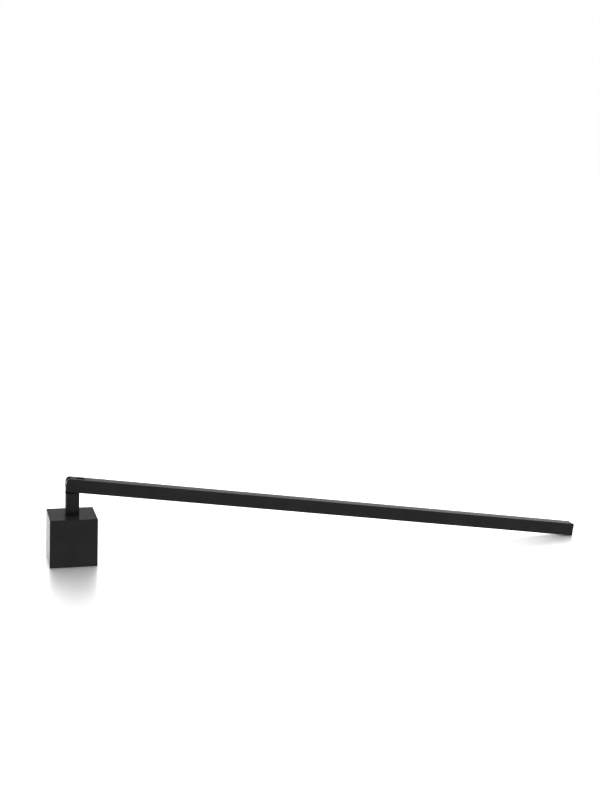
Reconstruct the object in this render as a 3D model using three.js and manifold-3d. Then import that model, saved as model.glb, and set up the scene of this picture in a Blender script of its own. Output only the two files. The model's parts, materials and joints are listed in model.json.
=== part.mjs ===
// Candle snuffer: a hollow square bell hangs from a short square neck, and the neck is hinged in the
// forked end of a long square handle. It stands on its bell with the tip of the handle on the table.
// Millimetres, +Z up. The origin is on the table, under the middle of the whole object, and +X runs
// from the bell to the tip of the handle.
import * as THREE from "three";
import { mergeVertices } from "three/addons/utils/BufferGeometryUtils.js";
import Module from "manifold-3d";

const wasm = await Module();
wasm.setup();

// Bell: close to a cube, open underneath
const BELL_WIDTH = 23.6;
const BELL_HEIGHT = 24;
const BELL_WALL = 1.5;
const BELL_ROOF = 2;
const BELL_CORNER_RADIUS = 0.4;
const CAVITY_CORNER_RADIUS = 1;

// Square bar stock that the neck and the handle are cut from
const STOCK = 6.7;
const STOCK_CORNER_RADIUS = 0.2;

// Neck, from the roof of the bell up to the hinge
const SHOULDER_HEIGHT = 35.2;
const PIVOT_HEIGHT = 39.1;
const TONGUE_THICKNESS = 2.5;

// Handle
const HANDLE_LENGTH = 282;
const FORK_SLOT_WIDTH = 2.7;
const FORK_SLOT_LENGTH = 9.3;
const FORK_CORNER_RADIUS = 2.2;
const TIP_CORNER_RADIUS = 0.4;

// Hinge pin, pressed into the tongue and running in the fork
const PIN_RADIUS = 1;
const PIN_CHAMFER = 0.15;
const PIN_RECESS = 0.05;
const PRESS_CLEARANCE = 0.02;
const RUNNING_CLEARANCE = 0.06;

// M3 pan-head screw with a split spring washer, up through the bell's roof into the neck
const SCREW_RADIUS = 1.5;
const SCREW_ENGAGEMENT = 7;
const SCREW_END_CHAMFER = 0.4;
const SCREW_HEAD_RADIUS = 2.8;
const SCREW_HEAD_HEIGHT = 2.3;
const SCREW_HEAD_RIM = 1;
const RECESS_SPAN = 3;
const RECESS_WIDTH = 0.6;
const RECESS_DEPTH = 1.3;
const TAPPED_HOLE_RADIUS = 1.53;
const TAPPED_HOLE_DEPTH = 8;
const ROOF_HOLE_RADIUS = 1.7;
const WASHER_INNER_RADIUS = 1.6;
const WASHER_OUTER_RADIUS = 2.9;
const WASHER_THICKNESS = 0.8;
const WASHER_SPLIT_ANGLE = 0.16;

// Facets
const ROUND_SEGMENTS = 48;
const CORNER_SEGMENTS = 6;
const OVERRUN = 1; // how far a cutting tool runs past the faces it cuts

const HALF_STOCK = STOCK / 2;
const CAVITY_WIDTH = BELL_WIDTH - 2 * BELL_WALL;
const CAVITY_ROOF = BELL_HEIGHT - BELL_ROOF;
const PIVOT_TO_TIP = HANDLE_LENGTH - HALF_STOCK;

// The handle droops by the angle that brings the lower corner of its tip, a small arc, down to the table.
const tipArc = { along: PIVOT_TO_TIP - TIP_CORNER_RADIUS, below: HALF_STOCK - TIP_CORNER_RADIUS };
const HANDLE_DROOP =
  Math.asin((PIVOT_HEIGHT - TIP_CORNER_RADIUS) / Math.hypot(tipArc.along, tipArc.below)) -
  Math.atan2(tipArc.below, tipArc.along);

// The bell's axis stands this far from the middle of the object's length.
const TIP_REACH =
  tipArc.along * Math.cos(HANDLE_DROOP) + tipArc.below * Math.sin(HANDLE_DROOP) + TIP_CORNER_RADIUS;
const BELL_X = (BELL_WIDTH / 2 - TIP_REACH) / 2;

const satinBlack = { color: 0x272728, roughness: 0.42, metalness: 0.1 };
const blackenedSteel = { color: 0x303133, roughness: 0.36, metalness: 0.85 };

function solidFrom(geometry) {
  const bare = geometry.clone();
  bare.deleteAttribute("normal");
  bare.deleteAttribute("uv");
  const merged = mergeVertices(bare, 1e-4);
  return new wasm.Manifold(
    new wasm.Mesh({
      numProp: 3,
      vertProperties: new Float32Array(merged.attributes.position.array),
      triVerts: new Uint32Array(merged.index.array),
    }),
  );
}

function geometryFrom(solid) {
  const mesh = solid.getMesh();
  const geometry = new THREE.BufferGeometry();
  geometry.setAttribute("position", new THREE.BufferAttribute(mesh.vertProperties, 3));
  geometry.setIndex(new THREE.BufferAttribute(mesh.triVerts, 1));
  geometry.computeVertexNormals();
  return geometry;
}

// A rectangle round the origin; radii go anticlockwise from the lower left corner.
function roundedRectangle(width, height, radii) {
  const [lowerLeft, lowerRight, upperRight, upperLeft] = radii;
  const x = width / 2;
  const y = height / 2;
  const quarter = Math.PI / 2;
  return new THREE.Shape()
    .absarc(-x + lowerLeft, -y + lowerLeft, lowerLeft, 2 * quarter, 3 * quarter)
    .absarc(x - lowerRight, -y + lowerRight, lowerRight, 3 * quarter, 4 * quarter)
    .absarc(x - upperRight, y - upperRight, upperRight, 0, quarter)
    .absarc(-x + upperLeft, y - upperLeft, upperLeft, quarter, 2 * quarter);
}

// An upright prism of a plan-view outline, from z = bottom to z = top.
function upright(shape, bottom, top) {
  const options = { depth: top - bottom, bevelEnabled: false, curveSegments: CORNER_SEGMENTS };
  return new THREE.ExtrudeGeometry(shape, options).translate(0, 0, bottom);
}

// A plate of a side-view outline, drawn in X and Z, with its thickness centred on y = 0.
function sidePlate(shape, thickness, curveSegments = CORNER_SEGMENTS) {
  const options = { depth: thickness, bevelEnabled: false, curveSegments };
  return new THREE.ExtrudeGeometry(shape, options)
    .translate(0, 0, -thickness / 2)
    .rotateX(Math.PI / 2);
}

// A closed solid of revolution about Z; the profile's [radius, z] points start and end on the axis.
function turned(profile) {
  const points = profile.map(([radius, z]) => new THREE.Vector2(radius, z));
  return new THREE.LatheGeometry(points, ROUND_SEGMENTS).rotateX(Math.PI / 2);
}

function drill(radius, bottom, top) {
  return turned([
    [0, bottom],
    [radius, bottom],
    [radius, top],
    [0, top],
  ]);
}

function box(width, depth, height, x, y, z) {
  return new THREE.BoxGeometry(width, depth, height).translate(x, y, z);
}

function bellCup() {
  const outline = roundedRectangle(BELL_WIDTH, BELL_WIDTH, Array(4).fill(BELL_CORNER_RADIUS));
  const hollow = roundedRectangle(CAVITY_WIDTH, CAVITY_WIDTH, Array(4).fill(CAVITY_CORNER_RADIUS));
  const cup = solidFrom(upright(outline, 0, BELL_HEIGHT))
    .subtract(solidFrom(upright(hollow, -OVERRUN, CAVITY_ROOF)))
    .subtract(solidFrom(drill(ROOF_HOLE_RADIUS, CAVITY_ROOF - OVERRUN, BELL_HEIGHT + OVERRUN)));
  return geometryFrom(cup);
}

// Square post, cut down on both sides to a tongue with a round top.
function neckPost() {
  const outline = roundedRectangle(STOCK, STOCK, Array(4).fill(STOCK_CORNER_RADIUS));
  const tongue = new THREE.Shape()
    .moveTo(-HALF_STOCK, SHOULDER_HEIGHT - OVERRUN)
    .lineTo(HALF_STOCK, SHOULDER_HEIGHT - OVERRUN)
    .absarc(0, PIVOT_HEIGHT, HALF_STOCK, 0, Math.PI);
  const post = solidFrom(upright(outline, BELL_HEIGHT, SHOULDER_HEIGHT))
    .add(solidFrom(sidePlate(tongue, TONGUE_THICKNESS, ROUND_SEGMENTS / 2)))
    .subtract(solidFrom(pinBore(PIN_RADIUS + PRESS_CLEARANCE).translate(0, 0, PIVOT_HEIGHT)))
    .subtract(solidFrom(drill(TAPPED_HOLE_RADIUS, BELL_HEIGHT - OVERRUN, BELL_HEIGHT + TAPPED_HOLE_DEPTH)));
  return geometryFrom(post);
}

function pinBore(radius) {
  return drill(radius, -STOCK, STOCK).rotateX(Math.PI / 2);
}

// Drawn lying level with the hinge at the origin: its length runs along +X.
function handleBar() {
  const radii = [FORK_CORNER_RADIUS, TIP_CORNER_RADIUS, TIP_CORNER_RADIUS, FORK_CORNER_RADIUS];
  const side = roundedRectangle(HANDLE_LENGTH, STOCK, radii);
  const barMiddle = HANDLE_LENGTH / 2 - HALF_STOCK;
  const slotLength = FORK_SLOT_LENGTH + OVERRUN;
  const slotMiddle = FORK_SLOT_LENGTH - HALF_STOCK - slotLength / 2;
  const slot = box(slotLength, FORK_SLOT_WIDTH, STOCK + 2 * OVERRUN, slotMiddle, 0, 0);
  const bar = solidFrom(sidePlate(side, STOCK).translate(barMiddle, 0, 0))
    .subtract(solidFrom(slot))
    .subtract(solidFrom(pinBore(PIN_RADIUS + RUNNING_CLEARANCE)));
  return geometryFrom(bar);
}

// Plain pin along Y, its chamfered ends just below the sides of the handle.
function hingePin() {
  const half = HALF_STOCK - PIN_RECESS;
  const end = PIN_RADIUS - PIN_CHAMFER;
  return turned([
    [0, -half],
    [end, -half],
    [PIN_RADIUS, -half + PIN_CHAMFER],
    [PIN_RADIUS, half - PIN_CHAMFER],
    [end, half],
    [0, half],
  ]).rotateX(Math.PI / 2);
}

// Pan head downwards, with a cross recess in it; the plain shank stands for the thread.
function bellScrew() {
  const seat = CAVITY_ROOF - WASHER_THICKNESS;
  const headBottom = seat - SCREW_HEAD_HEIGHT;
  const crown = SCREW_HEAD_HEIGHT - SCREW_HEAD_RIM;
  const profile = [[0, headBottom]];
  for (let step = 1; step <= CORNER_SEGMENTS; step++) {
    const angle = ((step / CORNER_SEGMENTS) * Math.PI) / 2;
    profile.push([SCREW_HEAD_RADIUS * Math.sin(angle), headBottom + crown * (1 - Math.cos(angle))]);
  }
  profile.push(
    [SCREW_HEAD_RADIUS, seat],
    [SCREW_RADIUS, seat],
    [SCREW_RADIUS, BELL_HEIGHT + SCREW_ENGAGEMENT - SCREW_END_CHAMFER],
    [SCREW_RADIUS - SCREW_END_CHAMFER, BELL_HEIGHT + SCREW_ENGAGEMENT],
    [0, BELL_HEIGHT + SCREW_ENGAGEMENT],
  );
  const recessHeight = RECESS_DEPTH + OVERRUN;
  const recessMiddle = headBottom + RECESS_DEPTH - recessHeight / 2;
  const screw = solidFrom(turned(profile))
    .subtract(solidFrom(box(RECESS_SPAN, RECESS_WIDTH, recessHeight, 0, 0, recessMiddle)))
    .subtract(solidFrom(box(RECESS_WIDTH, RECESS_SPAN, recessHeight, 0, 0, recessMiddle)));
  return geometryFrom(screw);
}

function springWasher() {
  const from = WASHER_SPLIT_ANGLE / 2;
  const to = 2 * Math.PI - from;
  const ring = new THREE.Shape()
    .absarc(0, 0, WASHER_OUTER_RADIUS, from, to, false)
    .absarc(0, 0, WASHER_INNER_RADIUS, to, from, true);
  const options = { depth: WASHER_THICKNESS, bevelEnabled: false, curveSegments: ROUND_SEGMENTS };
  return new THREE.ExtrudeGeometry(ring, options).translate(0, 0, CAVITY_ROOF - WASHER_THICKNESS);
}

function piece(name, geometry, finish) {
  const mesh = new THREE.Mesh(geometry, new THREE.MeshStandardMaterial(finish));
  mesh.name = name;
  return mesh;
}

const pin = piece("hinge_pin", hingePin(), blackenedSteel);
pin.position.z = PIVOT_HEIGHT;

const bellAssembly = new THREE.Group();
bellAssembly.add(
  piece("bell_cup", bellCup(), satinBlack),
  piece("neck_post", neckPost(), satinBlack),
  piece("spring_washer", springWasher(), blackenedSteel),
  piece("bell_screw", bellScrew(), blackenedSteel),
  pin,
);

const handle = new THREE.Group();
handle.add(piece("handle_bar", handleBar(), satinBlack));
handle.position.z = PIVOT_HEIGHT;
handle.rotation.y = HANDLE_DROOP;

const snuffer = new THREE.Group();
const onAxis = new THREE.Group();
onAxis.position.x = BELL_X;
onAxis.add(bellAssembly, handle);
snuffer.add(onAxis);

export default snuffer;
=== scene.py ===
import json
import math

import bmesh
import bpy
from mathutils import Matrix, Vector


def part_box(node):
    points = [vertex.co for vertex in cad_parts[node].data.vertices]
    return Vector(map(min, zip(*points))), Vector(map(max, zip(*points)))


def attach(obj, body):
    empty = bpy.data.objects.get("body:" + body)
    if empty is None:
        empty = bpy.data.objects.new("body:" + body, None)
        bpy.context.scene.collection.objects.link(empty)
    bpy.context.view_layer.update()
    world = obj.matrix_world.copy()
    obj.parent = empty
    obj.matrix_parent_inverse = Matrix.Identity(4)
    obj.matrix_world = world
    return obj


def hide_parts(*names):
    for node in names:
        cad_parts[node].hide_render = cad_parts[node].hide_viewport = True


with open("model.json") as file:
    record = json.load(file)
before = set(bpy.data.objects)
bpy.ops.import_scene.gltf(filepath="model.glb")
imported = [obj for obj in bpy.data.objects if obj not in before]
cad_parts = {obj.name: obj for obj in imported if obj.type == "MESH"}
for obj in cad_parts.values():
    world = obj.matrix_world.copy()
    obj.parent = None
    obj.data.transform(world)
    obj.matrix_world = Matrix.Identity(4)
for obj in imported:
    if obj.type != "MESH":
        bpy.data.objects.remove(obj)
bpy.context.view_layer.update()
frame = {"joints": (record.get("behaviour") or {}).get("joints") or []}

MM = 0.001

# Bell
BELL_WALL = 1.5 * MM
BELL_ROOF = 2.0 * MM
BELL_CORNER = 0.5 * MM
SMALLEST_CORNER = 0.05 * MM  # left on a square outline when it is inset by more than its corner
BELL_TOP_EDGE = 0.35 * MM
BELL_RIM_EDGE = 0.25 * MM
CAVITY_CORNER = 1.0 * MM
ROOF_FILLET = 0.8 * MM
ROOF_HOLE_RADIUS = 1.7 * MM
HOLE_EDGE = 0.15 * MM
FLAT_BORDER = 0.05 * MM  # a narrow border round a flat face keeps its shading flat

# Neck and handle
SHOULDER_BELOW_PIVOT = 3.9 * MM
TONGUE_THICKNESS = 2.5 * MM
HANDLE_LENGTH = 282.0 * MM
SLOT_WIDTH = 2.7 * MM
SLOT_LENGTH = 9.3 * MM
FORK_CORNER = 2.2 * MM
TIP_CORNER = 0.4 * MM
STOCK_EDGE = 0.25 * MM
TONGUE_EDGE = 0.12 * MM
TAPPED_HOLE_RADIUS = 1.53 * MM
TAPPED_HOLE_DEPTH = 8.0 * MM
DRILL_POINT_RADIUS = 0.1 * MM

# Hardware
PIN_RADIUS = 1.0 * MM
PIN_EDGE = 0.15 * MM
PRESS_CLEARANCE = 0.02 * MM
RUNNING_CLEARANCE = 0.06 * MM
THREAD_CREST = 1.5 * MM
THREAD_ROOT = 1.22 * MM
THREAD_PITCH = 0.5 * MM
THREAD_STEPS = 6  # rings per pitch
HEAD_HEIGHT = 2.3 * MM
HEAD_RIM = 1.0 * MM
HEAD_EDGE = 0.12 * MM
CROWN_TIP_RADIUS = 0.05 * MM
RECESS_MOUTH = 3.0 * MM
RECESS_FLOOR = 1.5 * MM
RECESS_WIDTH = 0.6 * MM
RECESS_DEPTH = 1.3 * MM
WASHER_INNER_RADIUS = 1.6 * MM
WASHER_OUTER_RADIUS = 2.9 * MM
WASHER_EDGE = 0.1 * MM
WASHER_SPLIT = 0.16  # radians

# Meshes
CORNER_STEPS = 6
BEVEL_STEPS = 4
ROUND_STEPS = 64
SIDE_STEPS = 4
WASHER_EDGE_STEPS = 3
SHARP_ANGLE = math.radians(35)
LARGE_FACE_WEIGHT = 100  # lets the largest face at a point decide its shading
OVERRUN = 1.0 * MM  # how far a cutting tool runs past the faces it cuts

# Camera
CAMERA_PLACE = Vector((-0.1954, -0.6388, 0.2036))
CAMERA_YAW = math.radians(15.609)
CAMERA_PITCH = math.radians(7.063)
CAMERA_ROLL = math.radians(1.734)
CAMERA_LENS = 58.35
CAMERA_SENSOR = 36.0
CAMERA_SHIFT = -0.1

# Materials
NOISE_SPREAD = (0.3, 0.7)  # most of a noise texture's values lie between these

# Satin black powder coat. Greys are a pair of colours, and reliefs are in metres.
COAT_PEEL = 1.6 * MM
COAT_GRAIN = 0.22 * MM
COAT_CLOUD = 9.0 * MM
COAT_GREYS = ((0.0054, 0.0055, 0.0057), (0.0076, 0.0075, 0.0075))
COAT_ROUGHNESS = (0.2, 0.26)
COAT_RELIEF = 1.5e-6
COAT_IOR = 1.15  # low, so that the faces turned to the camera stay dark
COAT_SHEEN = 0.04
COAT_SHEEN_ROUGHNESS = 0.4

# Blackened steel
STEEL_WEAR = 0.7 * MM
STEEL_GRAIN = 0.08 * MM
STEEL_GREYS = ((0.050, 0.050, 0.053), (0.072, 0.071, 0.070))
STEEL_ROUGHNESS = (0.31, 0.37)
STEEL_WEAR_RELIEF = 1.0e-6
STEEL_GRAIN_RELIEF = 0.7e-6
STEEL_METALLIC = 0.9

# Table, studio and lamps
STUDIO = (  # how bright the studio is from the horizon up, as (sine of the elevation, brightness)
    (0.0, 0.0),
    (0.004, 1.15),
    (0.15, 1.1),
    (0.195, 1.6),
    (0.22, 0.1),
    (0.45, 0.6),
    (1.0, 1.0),
)
FLOOR_SIZE = 40.0
FLOOR_WHITE = 0.1
FLOOR_SHINES = ((1.72, 0.42), (0.68, 0.08))  # (brightness, roughness)
LAMPS = (  # (name, place, side in metres, watts)
    ("overhead", (0.1, -0.3, 1.6), 1.2, 12.0),
    ("underneath", (-0.05, 0.0, -1.0), 0.9, 14.0),
)

# Places, from the frame
PIVOT = Vector(frame["joints"][0]["pos_m"])
BELL_LOW, BELL_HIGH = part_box("bell_cup")
BELL_CENTRE = (BELL_LOW + BELL_HIGH) / 2
NECK_LOW, NECK_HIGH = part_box("neck_post")
PIN_LOW, PIN_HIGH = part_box("hinge_pin")
SCREW_LOW, SCREW_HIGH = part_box("bell_screw")
WASHER_LOW, WASHER_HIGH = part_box("spring_washer")
HALF_STOCK = (NECK_HIGH.y - NECK_LOW.y) / 2


# ---------------------------------------------------------------- mesh building

def mesh_from(points, faces):
    """A mesh of these points and faces, with its faces turned outwards."""
    mesh = bpy.data.meshes.new("mesh")
    mesh.from_pydata([tuple(p) for p in points], [], faces)
    shape = bmesh.new()
    shape.from_mesh(mesh)
    bmesh.ops.recalc_face_normals(shape, faces=shape.faces)
    shape.to_mesh(mesh)
    shape.free()
    return mesh


def circle(radius, z, centre):
    """A ring about an upright axis through centre, at height z."""
    angles = [2 * math.pi * i / ROUND_STEPS for i in range(ROUND_STEPS)]
    axis = Vector((centre.x, centre.y, z))
    return [axis + Vector((radius * math.cos(t), radius * math.sin(t), 0)) for t in angles]


def arc(centre_a, centre_b, radius, start, end, steps=CORNER_STEPS):
    """Points of a circular arc in a plane, angles in quarter turns."""
    angles = [math.pi / 2 * (start + (end - start) * i / steps) for i in range(steps + 1)]
    return [(centre_a + radius * math.cos(t), centre_b + radius * math.sin(t)) for t in angles]


def stacked_rings(rings, closed=False):
    """Quads between rings of equal length. A closed stack joins its last ring to its first; an open
    one is capped at both ends."""
    count = len(rings[0])
    points = [p for ring in rings for p in ring]
    faces = []
    levels = len(rings) if closed else len(rings) - 1
    for level in range(levels):
        low, high = level * count, (level + 1) % len(rings) * count
        for i in range(count):
            j = (i + 1) % count
            faces.append((low + i, low + j, high + j, high + i))
    if not closed:
        faces.append(tuple(reversed(range(count))))
        faces.append(tuple(range(len(points) - count, len(points))))
    return mesh_from(points, faces)


def square_ring(half, corner, z, centre):
    """A ring round a square with rounded corners; a corner as large as half makes it a circle."""
    ring = []
    flat = half - corner
    for turn in range(4):
        rotate = Matrix.Rotation(turn * math.pi / 2, 3, "Z")
        edge = [(half, -flat + 2 * flat * i / SIDE_STEPS) for i in range(SIDE_STEPS)]
        for x, y in edge + arc(flat, flat, corner, 0, 1):
            ring.append(rotate @ Vector((x, y, 0)) + Vector((centre.x, centre.y, z)))
    return ring


def prism(outline, thickness, centre_y=0.0):
    """A side-view outline in X and Z, anticlockwise as seen from the front, with that thickness in Y."""
    front, back = centre_y - thickness / 2, centre_y + thickness / 2
    rings = [[Vector((x, y, z)) for x, z in outline] for y in (front, back)]
    return stacked_rings(rings)


def box(low, high):
    """A block between two opposite corners."""
    outline = [(low[0], low[2]), (high[0], low[2]), (high[0], high[2]), (low[0], high[2])]
    return prism(outline, high[1] - low[1], (high[1] + low[1]) / 2)


def turned(profile, axis, centre):
    """A solid of revolution; each (radius, height) of the profile makes a ring about the axis."""
    turn = Vector((0, 0, 1)).rotation_difference(Vector(axis)).to_matrix()
    rings = [circle(radius, height, Vector((0, 0, 0))) for radius, height in profile]
    return stacked_rings([[turn @ p + centre for p in ring] for ring in rings])


def temporary(mesh):
    """An object that only carries a mesh through a modifier."""
    made = bpy.data.objects.new("temporary", mesh)
    bpy.context.scene.collection.objects.link(made)
    return made


def applied(holder):
    """The object's mesh with its modifiers applied; the object itself is thrown away."""
    graph = bpy.context.evaluated_depsgraph_get()
    mesh = bpy.data.meshes.new_from_object(holder.evaluated_get(graph))
    bpy.data.objects.remove(holder)
    return mesh


def combined(mesh, operation, *others):
    """The mesh after a boolean operation with each of the others."""
    for other in others:
        holder, tool = temporary(mesh), temporary(other)
        modifier = holder.modifiers.new("combine", "BOOLEAN")
        modifier.operation = operation
        modifier.solver = "EXACT"
        modifier.object = tool
        mesh = applied(holder)
        bpy.data.objects.remove(tool)
    return mesh


def bevelled(mesh, width):
    """The mesh with its sharp edges rounded."""
    holder = temporary(mesh)
    modifier = holder.modifiers.new("edges", "BEVEL")
    modifier.width = width
    modifier.segments = BEVEL_STEPS
    modifier.limit_method = "ANGLE"
    modifier.angle_limit = SHARP_ANGLE
    modifier.use_clamp_overlap = False
    return applied(holder)


def piece(name, mesh, node, body, material):
    """A finished piece that stands for one CAD node."""
    mesh.name = name
    mesh.materials.clear()
    mesh.materials.append(material)
    mesh.shade_smooth()
    mesh.set_sharp_from_angle(angle=SHARP_ANGLE)
    made = bpy.data.objects.new(name, mesh)
    bpy.context.scene.collection.objects.link(made)
    normals = made.modifiers.new("normals", "WEIGHTED_NORMAL")
    normals.mode = "FACE_AREA"
    normals.weight = LARGE_FACE_WEIGHT
    normals.keep_sharp = True
    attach(made, body)
    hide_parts(node)


# ---------------------------------------------------------------- materials

def node_material(name):
    """A new material, with its node tree, its shader and the object coordinates."""
    material = bpy.data.materials.new(name)
    material.use_nodes = True
    tree = material.node_tree
    shader = tree.nodes["Principled BSDF"]
    place = tree.nodes.new("ShaderNodeTexCoord").outputs["Object"]
    return material, tree, shader, place


def noise(tree, place, size, detail=2.0):
    """Noise with features about as large as size, in metres."""
    node = tree.nodes.new("ShaderNodeTexNoise")
    node.inputs["Scale"].default_value = 1 / size
    node.inputs["Detail"].default_value = detail
    tree.links.new(place, node.inputs["Vector"])
    return node.outputs["Fac"]


def ranged(tree, value, low, high):
    """A noise value, spread from low to high."""
    node = tree.nodes.new("ShaderNodeMapRange")
    node.inputs["From Min"].default_value, node.inputs["From Max"].default_value = NOISE_SPREAD
    node.inputs["To Min"].default_value = low
    node.inputs["To Max"].default_value = high
    tree.links.new(value, node.inputs["Value"])
    return node.outputs["Result"]


def between(tree, value, first, second):
    """A colour that goes from the first to the second as the value goes from 0 to 1."""
    node = tree.nodes.new("ShaderNodeMix")
    node.data_type = "RGBA"
    node.inputs["A"].default_value = (*first, 1)
    node.inputs["B"].default_value = (*second, 1)
    tree.links.new(value, node.inputs["Factor"])
    return node.outputs["Result"]


def bumps(tree, layers):
    """A normal from several (height, distance) layers, one on top of the other."""
    normal = None
    for height, distance in layers:
        node = tree.nodes.new("ShaderNodeBump")
        node.inputs["Distance"].default_value = distance
        tree.links.new(height, node.inputs["Height"])
        if normal is not None:
            tree.links.new(normal, node.inputs["Normal"])
        normal = node.outputs["Normal"]
    return normal


def satin_black_coat():
    """Satin black powder coat: a fine grain over a very slight orange peel, with a faint sheen."""
    material, tree, shader, place = node_material("satin_powder_coat")
    peel = noise(tree, place, COAT_PEEL)
    grain = noise(tree, place, COAT_GRAIN, detail=3.0)
    cloud = noise(tree, place, COAT_CLOUD)
    tree.links.new(
        between(tree, ranged(tree, cloud, 0, 1), *COAT_GREYS),
        shader.inputs["Base Color"],
    )
    tree.links.new(ranged(tree, peel, *COAT_ROUGHNESS), shader.inputs["Roughness"])
    relief = bumps(tree, [(peel, COAT_RELIEF), (grain, COAT_RELIEF)])
    tree.links.new(relief, shader.inputs["Normal"])
    shader.inputs["IOR"].default_value = COAT_IOR
    shader.inputs["Sheen Weight"].default_value = COAT_SHEEN
    shader.inputs["Sheen Roughness"].default_value = COAT_SHEEN_ROUGHNESS
    return material


def blackened_steel():
    """Blackened plated steel, a little worn, for the hardware."""
    material, tree, shader, place = node_material("blackened_hardware")
    wear = noise(tree, place, STEEL_WEAR, detail=4.0)
    grain = noise(tree, place, STEEL_GRAIN, detail=3.0)
    tree.links.new(
        between(tree, ranged(tree, wear, 0, 1), *STEEL_GREYS),
        shader.inputs["Base Color"],
    )
    tree.links.new(ranged(tree, wear, *STEEL_ROUGHNESS), shader.inputs["Roughness"])
    relief = bumps(tree, [(wear, STEEL_WEAR_RELIEF), (grain, STEEL_GRAIN_RELIEF)])
    tree.links.new(relief, shader.inputs["Normal"])
    shader.inputs["Metallic"].default_value = STEEL_METALLIC
    return material


# ---------------------------------------------------------------- pieces

def bell_rings(places, half, corner):
    """Rounded square rings about the bell's axis; each place is (inset, height)."""
    return [
        square_ring(half - inset, max(corner - inset, SMALLEST_CORNER), z, BELL_CENTRE)
        for inset, z in places
    ]


def bell_outside(top):
    """From the rim up to the flat of the roof, as (inset, height)."""
    return (
        [(BELL_RIM_EDGE + FLAT_BORDER, BELL_LOW.z)]
        + arc(BELL_RIM_EDGE, BELL_RIM_EDGE, BELL_RIM_EDGE, 3, 2)
        + [(0, BELL_RIM_EDGE + FLAT_BORDER), (0, top - BELL_TOP_EDGE - FLAT_BORDER)]
        + arc(BELL_TOP_EDGE, top - BELL_TOP_EDGE, BELL_TOP_EDGE, 2, 1)
        + [(BELL_TOP_EDGE + FLAT_BORDER, top)]
    )


def roof_hole(top, ceiling):
    """Down through the screw's hole, as (radius, height)."""
    hole = ROOF_HOLE_RADIUS
    return [
        (hole + HOLE_EDGE + FLAT_BORDER, top),
        (hole + HOLE_EDGE, top),
        (hole, top - HOLE_EDGE),
        (hole, ceiling + HOLE_EDGE),
        (hole + HOLE_EDGE, ceiling),
        (hole + HOLE_EDGE + FLAT_BORDER, ceiling),
    ]


def bell_inside(ceiling):
    """From the ceiling down to the rim, as (inset, height)."""
    rim = arc(BELL_RIM_EDGE, BELL_RIM_EDGE, BELL_RIM_EDGE, 2, 3)
    return (
        [(ROOF_FILLET + FLAT_BORDER, ceiling)]
        + arc(ROOF_FILLET, ceiling - ROOF_FILLET, ROOF_FILLET, 1, 2)
        + [(-outset, z) for outset, z in rim]
        + [(-BELL_RIM_EDGE - FLAT_BORDER, BELL_LOW.z)]
    )


def bell_mesh():
    """The cup, as one stack of rings: up the outside, over the roof, through the hole and down inside."""
    half = (BELL_HIGH.y - BELL_LOW.y) / 2
    top = BELL_HIGH.z
    ceiling = top - BELL_ROOF
    rings = bell_rings(bell_outside(top), half, BELL_CORNER)
    rings += [square_ring(radius, radius, z, BELL_CENTRE) for radius, z in roof_hole(top, ceiling)]
    rings += bell_rings(bell_inside(ceiling), half - BELL_WALL, CAVITY_CORNER)
    return stacked_rings(rings, closed=True)


def neck_mesh():
    """Square post, cut down on both sides to a tongue with a round top."""
    x, y, z = PIVOT
    shoulder = z - SHOULDER_BELOW_PIVOT
    low = Vector((x - HALF_STOCK, y - HALF_STOCK, NECK_LOW.z))
    high = Vector((x + HALF_STOCK, y + HALF_STOCK, shoulder))
    post = bevelled(box(low, high), STOCK_EDGE)
    root = shoulder - OVERRUN
    outline = [(x - HALF_STOCK, root), (x + HALF_STOCK, root)]
    outline += arc(x, z, HALF_STOCK, 0, 2, ROUND_STEPS // 2)
    tongue = bevelled(prism(outline, TONGUE_THICKNESS), TONGUE_EDGE)
    hole_top = NECK_LOW.z + TAPPED_HOLE_DEPTH
    drilled = [
        (TAPPED_HOLE_RADIUS, NECK_LOW.z - OVERRUN),
        (TAPPED_HOLE_RADIUS, hole_top),
        (DRILL_POINT_RADIUS, hole_top + THREAD_CREST / 2),
    ]
    tapped = turned(drilled, (0, 0, 1), Vector((x, y, 0)))
    neck = combined(post, "UNION", tongue)
    return combined(neck, "DIFFERENCE", tapped, pin_bore(PIN_RADIUS + PRESS_CLEARANCE))


def pin_bore(radius):
    """A cutting tool for the pin's hole, right across the stock."""
    return turned([(radius, -HALF_STOCK - OVERRUN), (radius, HALF_STOCK + OVERRUN)], (0, 1, 0), PIVOT)


def handle_droop():
    """The angle below level at which the lower corner of the tip, a small arc, touches the table."""
    along = HANDLE_LENGTH - HALF_STOCK - TIP_CORNER
    below = HALF_STOCK - TIP_CORNER
    return math.asin((PIVOT.z - TIP_CORNER) / math.hypot(along, below)) - math.atan2(below, along)


def handle_mesh():
    """Square bar with a slotted end, drawn level with the hinge at the origin and then drooped."""
    start, end = -HALF_STOCK, HANDLE_LENGTH - HALF_STOCK
    outline = (
        arc(start + FORK_CORNER, FORK_CORNER - HALF_STOCK, FORK_CORNER, 2, 3)
        + arc(end - TIP_CORNER, TIP_CORNER - HALF_STOCK, TIP_CORNER, 3, 4)
        + arc(end - TIP_CORNER, HALF_STOCK - TIP_CORNER, TIP_CORNER, 0, 1)
        + arc(start + FORK_CORNER, HALF_STOCK - FORK_CORNER, FORK_CORNER, 1, 2)
    )
    slot = box(
        (start - OVERRUN, -SLOT_WIDTH / 2, -HALF_STOCK - OVERRUN),
        (start + SLOT_LENGTH, SLOT_WIDTH / 2, HALF_STOCK + OVERRUN),
    )
    bar = bevelled(combined(prism(outline, 2 * HALF_STOCK), "DIFFERENCE", slot), STOCK_EDGE)
    bar.transform(Matrix.Translation(PIVOT) @ Matrix.Rotation(handle_droop(), 4, "Y"))
    return combined(bar, "DIFFERENCE", pin_bore(PIN_RADIUS + RUNNING_CLEARANCE))


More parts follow.
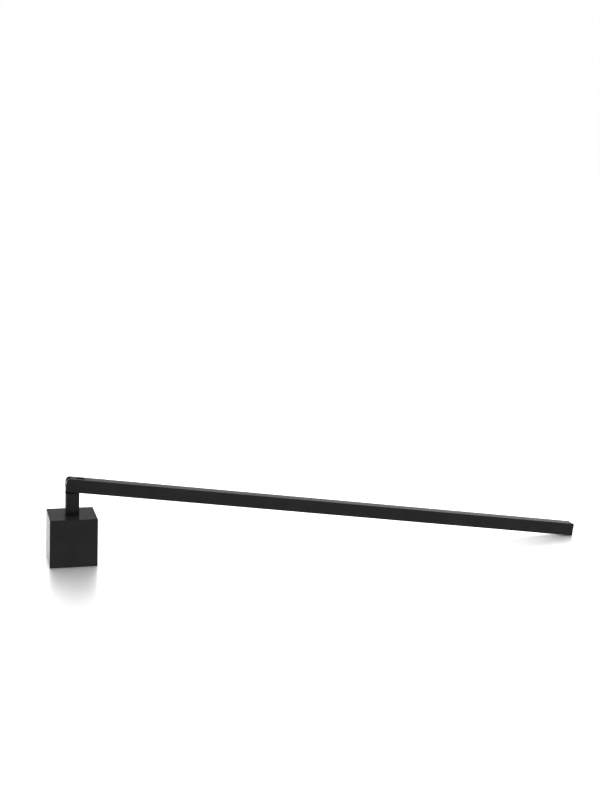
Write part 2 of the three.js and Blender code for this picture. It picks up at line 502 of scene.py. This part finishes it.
def pin_mesh():
    """Plain pin with rounded ends."""
    half = (PIN_HIGH.y - PIN_LOW.y) / 2
    rounded = arc(PIN_RADIUS - PIN_EDGE, half - PIN_EDGE, PIN_EDGE, 0, 1)
    profile = [(radius, -height) for radius, height in reversed(rounded)] + rounded
    return turned(profile, (0, 1, 0), PIVOT)


def thread_ring(z, start, end):
    """A ring of the thread's surface: a triangular groove that climbs one pitch a turn."""
    fade = min(1, (z - start) / THREAD_PITCH, (end - z) / THREAD_PITCH)
    ring = circle(1, z, Vector((0, 0, 0)))
    for i, p in enumerate(ring):
        phase = (z / THREAD_PITCH - i / len(ring)) % 1
        radius = THREAD_CREST - (THREAD_CREST - THREAD_ROOT) * max(abs(2 * phase - 1), 1 - fade)
        ring[i] = Vector((PIVOT.x + radius * p.x, PIVOT.y + radius * p.y, z))
    return ring


def recess_blade(quarter_turns):
    """One bar of the cross recess, tapered towards its floor, as a cutting tool."""
    mouth = SCREW_LOW.z - OVERRUN
    bottom = SCREW_LOW.z + RECESS_DEPTH
    widest = RECESS_MOUTH + (RECESS_MOUTH - RECESS_FLOOR) * OVERRUN / RECESS_DEPTH
    outline = [
        (-widest / 2, mouth),
        (widest / 2, mouth),
        (RECESS_FLOOR / 2, bottom),
        (-RECESS_FLOOR / 2, bottom),
    ]
    blade = prism(outline, RECESS_WIDTH)
    stand = Matrix.Translation((PIVOT.x, PIVOT.y, 0))
    blade.transform(stand @ Matrix.Rotation(quarter_turns * math.pi / 2, 4, "Z"))
    return blade


def head_profile(bottom, seat, radius):
    """The screw's head from the middle of its crown to the root of its thread, as (radius, height)."""
    crown = HEAD_HEIGHT - HEAD_RIM
    profile = [(CROWN_TIP_RADIUS, bottom)]
    steps = 2 * CORNER_STEPS
    for step in range(1, steps + 1):
        angle = math.pi / 2 * step / steps
        profile.append((radius * math.sin(angle), bottom + crown * (1 - math.cos(angle))))
    return profile + arc(radius - HEAD_EDGE, seat - HEAD_EDGE, HEAD_EDGE, 0, 1) + [(THREAD_ROOT, seat)]


def screw_mesh():
    """Pan-head screw, head down: crown, rim, seat, thread and a chamfered end."""
    bottom, end = SCREW_LOW.z, SCREW_HIGH.z
    seat = bottom + HEAD_HEIGHT
    head_radius = (SCREW_HIGH.y - SCREW_LOW.y) / 2
    rings = [circle(radius, z, PIVOT) for radius, z in head_profile(bottom, seat, head_radius)]
    rise = THREAD_PITCH / THREAD_STEPS
    count = round((end - seat) / rise) - 1
    rings += [thread_ring(seat + rise * (i + 1), seat, end) for i in range(count)]
    rings.append(circle(THREAD_ROOT - THREAD_PITCH / 2, end, PIVOT))
    return combined(stacked_rings(rings), "DIFFERENCE", recess_blade(0), recess_blade(1))


def spring_washer_mesh():
    """A split ring of rectangular section with eased edges."""
    width = WASHER_OUTER_RADIUS - WASHER_INNER_RADIUS
    height = WASHER_HIGH.z - WASHER_LOW.z
    edge = WASHER_EDGE
    section = (
        arc(edge, edge, edge, 2, 3, WASHER_EDGE_STEPS)
        + arc(width - edge, edge, edge, 3, 4, WASHER_EDGE_STEPS)
        + arc(width - edge, height - edge, edge, 0, 1, WASHER_EDGE_STEPS)
        + arc(edge, height - edge, edge, 1, 2, WASHER_EDGE_STEPS)
    )
    foot = Vector((PIVOT.x, PIVOT.y, WASHER_LOW.z))
    rings = []
    for i in range(ROUND_STEPS + 1):
        angle = WASHER_SPLIT / 2 + (2 * math.pi - WASHER_SPLIT) * i / ROUND_STEPS
        out = Vector((math.cos(angle), math.sin(angle), 0))
        rings.append([foot + out * (WASHER_INNER_RADIUS + a) + Vector((0, 0, b)) for a, b in section])
    return stacked_rings(rings)


def make_pieces():
    """Every piece, on its body and in the place of its CAD node."""
    coat, steel = satin_black_coat(), blackened_steel()
    piece("snuffer_bell", bell_mesh(), "bell_cup", "bell", coat)
    piece("snuffer_neck", neck_mesh(), "neck_post", "bell", coat)
    piece("snuffer_handle", handle_mesh(), "handle_bar", "handle", coat)
    piece("snuffer_hinge_pin", pin_mesh(), "hinge_pin", "bell", coat)
    piece("snuffer_bell_screw", screw_mesh(), "bell_screw", "bell", steel)
    piece("snuffer_spring_washer", spring_washer_mesh(), "spring_washer", "bell", steel)


# ---------------------------------------------------------------- stage, light and camera

def studio_brightness(tree):
    """A grey that follows the STUDIO steps from the horizon up."""
    direction = tree.nodes.new("ShaderNodeTexCoord").outputs["Generated"]
    parts = tree.nodes.new("ShaderNodeSeparateXYZ")
    tree.links.new(direction, parts.inputs["Vector"])
    ramp = tree.nodes.new("ShaderNodeValToRGB")
    elements = ramp.color_ramp.elements
    while len(elements) < len(STUDIO):
        elements.new(1.0)
    for element, (position, brightness) in zip(elements, STUDIO):
        element.position = position
        element.color = (brightness, brightness, brightness, 1)
    tree.links.new(parts.outputs["Z"], ramp.inputs["Fac"])
    return ramp.outputs["Color"]


def studio_world():
    """White to the camera; as light, bright round the horizon, dark above that and paler overhead."""
    world = bpy.data.worlds.new("studio")
    bpy.context.scene.world = world
    world.use_nodes = True
    tree = world.node_tree
    to_camera = tree.nodes.new("ShaderNodeLightPath").outputs["Is Camera Ray"]
    mix = tree.nodes.new("ShaderNodeMix")
    mix.data_type = "RGBA"
    mix.inputs["B"].default_value = (1, 1, 1, 1)
    tree.links.new(studio_brightness(tree), mix.inputs["A"])
    tree.links.new(to_camera, mix.inputs["Factor"])
    tree.links.new(mix.outputs["Result"], tree.nodes["Background"].inputs["Color"])


def shiny_white(tree):
    """A pale surface with a rough shine and a sharper one on top."""
    white = tree.nodes.new("ShaderNodeBsdfDiffuse")
    white.inputs["Color"].default_value = (FLOOR_WHITE, FLOOR_WHITE, FLOOR_WHITE, 1)
    surface = white.outputs["BSDF"]
    for brightness, roughness in FLOOR_SHINES:
        shine = tree.nodes.new("ShaderNodeBsdfAnisotropic")
        shine.inputs["Color"].default_value = (brightness, brightness, brightness, 1)
        shine.inputs["Roughness"].default_value = roughness
        both = tree.nodes.new("ShaderNodeAddShader")
        tree.links.new(surface, both.inputs[0])
        tree.links.new(shine.outputs["BSDF"], both.inputs[1])
        surface = both.outputs["Shader"]
    return surface


def clear_from_below(tree, surface):
    """The surface, but clear when it is seen from underneath or when light passes through it."""
    geometry = tree.nodes.new("ShaderNodeNewGeometry")
    ray = tree.nodes.new("ShaderNodeLightPath")
    clear = tree.nodes.new("ShaderNodeBsdfTransparent")
    either = tree.nodes.new("ShaderNodeMath")
    either.operation = "MAXIMUM"
    tree.links.new(geometry.outputs["Backfacing"], either.inputs[0])
    tree.links.new(ray.outputs["Is Shadow Ray"], either.inputs[1])
    sides = tree.nodes.new("ShaderNodeMixShader")
    tree.links.new(either.outputs["Value"], sides.inputs["Fac"])
    tree.links.new(surface, sides.inputs[1])
    tree.links.new(clear.outputs["BSDF"], sides.inputs[2])
    return sides.outputs["Shader"]


def floor():
    """A pale table top with a soft shine."""
    half = FLOOR_SIZE / 2
    corners = [(-half, -half, 0), (half, -half, 0), (half, half, 0), (-half, half, 0)]
    mesh = bpy.data.meshes.new("floor")
    mesh.from_pydata(corners, [], [(0, 1, 2, 3)])
    table = bpy.data.objects.new("floor", mesh)
    bpy.context.scene.collection.objects.link(table)
    material = bpy.data.materials.new("pale_table")
    material.use_nodes = True
    tree = material.node_tree
    tree.nodes.remove(tree.nodes["Principled BSDF"])
    surface = clear_from_below(tree, shiny_white(tree))
    tree.links.new(surface, tree.nodes["Material Output"].inputs["Surface"])
    mesh.materials.append(material)


def soft_light(name, place, size, power):
    """A square area lamp, turned towards the origin."""
    data = bpy.data.lights.new(name, "AREA")
    data.shape = "SQUARE"
    data.size = size
    data.energy = power
    lamp = bpy.data.objects.new(name, data)
    lamp.location = place
    lamp.rotation_euler = Vector(place).to_track_quat("Z", "Y").to_euler()
    bpy.context.scene.collection.objects.link(lamp)


def camera():
    """A camera turned by its yaw, tipped down by its pitch and then rolled."""
    data = bpy.data.cameras.new("camera")
    data.lens = CAMERA_LENS
    data.sensor_width = CAMERA_SENSOR
    data.shift_y = CAMERA_SHIFT
    made = bpy.data.objects.new("camera", data)
    bpy.context.scene.collection.objects.link(made)
    level = Matrix.Rotation(-CAMERA_YAW, 4, "Z") @ Matrix.Rotation(math.pi / 2 - CAMERA_PITCH, 4, "X")
    made.matrix_world = Matrix.Translation(CAMERA_PLACE) @ level @ Matrix.Rotation(CAMERA_ROLL, 4, "Z")
    bpy.context.scene.camera = made


make_pieces()
studio_world()
floor()
for lamp in LAMPS:
    soft_light(*lamp)
camera()
bpy.context.scene.view_settings.view_transform = "Standard"
